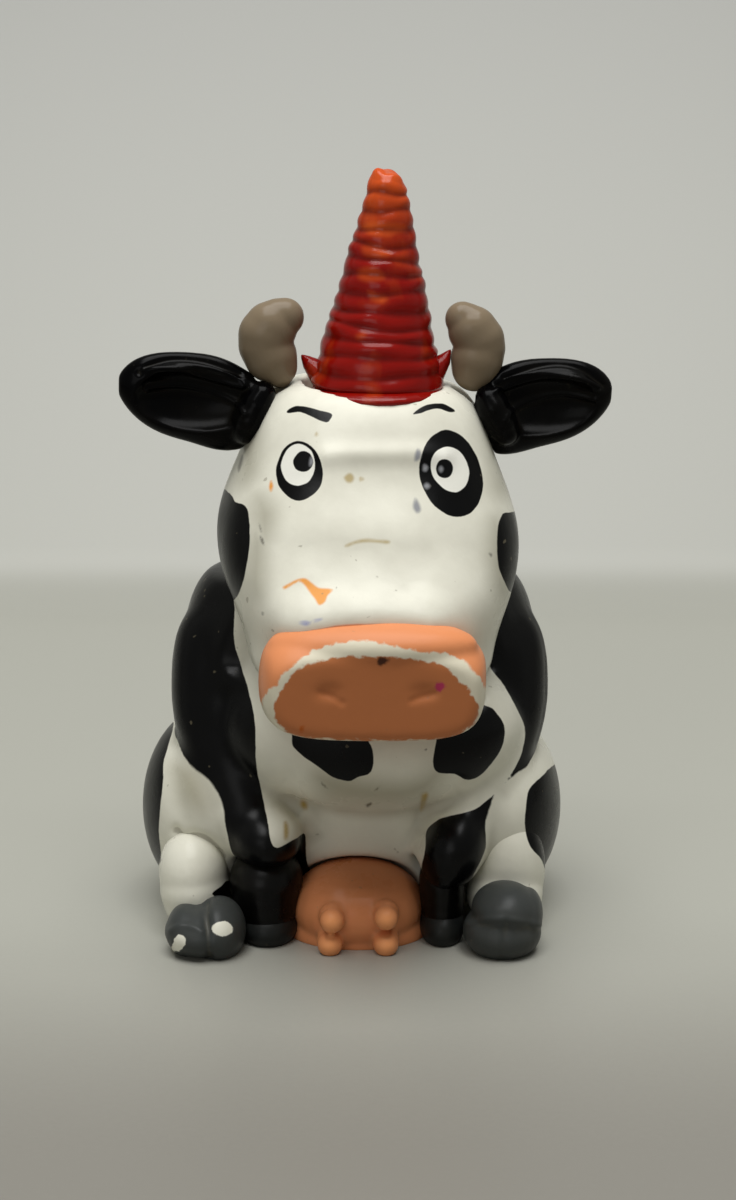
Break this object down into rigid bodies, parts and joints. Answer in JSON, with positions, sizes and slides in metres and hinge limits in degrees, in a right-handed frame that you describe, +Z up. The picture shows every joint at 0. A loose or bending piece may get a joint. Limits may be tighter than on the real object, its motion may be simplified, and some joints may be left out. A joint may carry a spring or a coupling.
{
  "type": "cow figurine",
  "caption": "Small seated toy cow with a big head that turns on its neck, curled horns, sideways ears, flat peach muzzle and a tall ringed red cone on its head.",
  "frame": {"origin": "centre of the flat seat face on the table", "axes": "+Z up, the cow faces -Y, +X is the cow's own left"},
  "size_m": [0.046, 0.0442, 0.0712],
  "materials": {
    "white_painted_plastic": "glossy white paint with black cow patches",
    "black_painted_plastic": "glossy black paint",
    "hoof_grey_plastic": "satin dark grey paint, chipped on the hind toes",
    "peach_painted_plastic": "satin peach paint",
    "horn_taupe_plastic": "glossy taupe paint",
    "clear_red_plastic": "glossy clear red, orange towards the tip",
    "plain_plug_plastic": "bare pale plastic, as moulded"
  },
  "bodies": {
    "body": {"torso": "white_painted_plastic", "neck_plug": "plain_plug_plastic", "right_lower_foreleg": "black_painted_plastic", "right_front_hoof": "hoof_grey_plastic", "right_lower_hind_leg": "white_painted_plastic", "right_hind_hoof": "hoof_grey_plastic", "left_lower_foreleg": "black_painted_plastic", "left_front_hoof": "hoof_grey_plastic", "left_lower_hind_leg": "white_painted_plastic", "left_hind_hoof": "hoof_grey_plastic", "udder": "peach_painted_plastic", "tail": "white_painted_plastic", "tail_tuft": "black_painted_plastic"},
    "head": {"head": "white_painted_plastic", "muzzle": "peach_painted_plastic", "right_ear": "black_painted_plastic", "right_horn": "horn_taupe_plastic", "left_ear": "black_painted_plastic", "left_horn": "horn_taupe_plastic", "cone": "clear_red_plastic", "cone_collar": "clear_red_plastic"}
  },
  "joints": [
    {"name": "head_turn", "type": "hinge", "parent": "body", "child": "head", "pos_m": [0, 0, 0.033], "axis": [0, 0, 1], "range_deg": [-14, 6]}
  ]
}
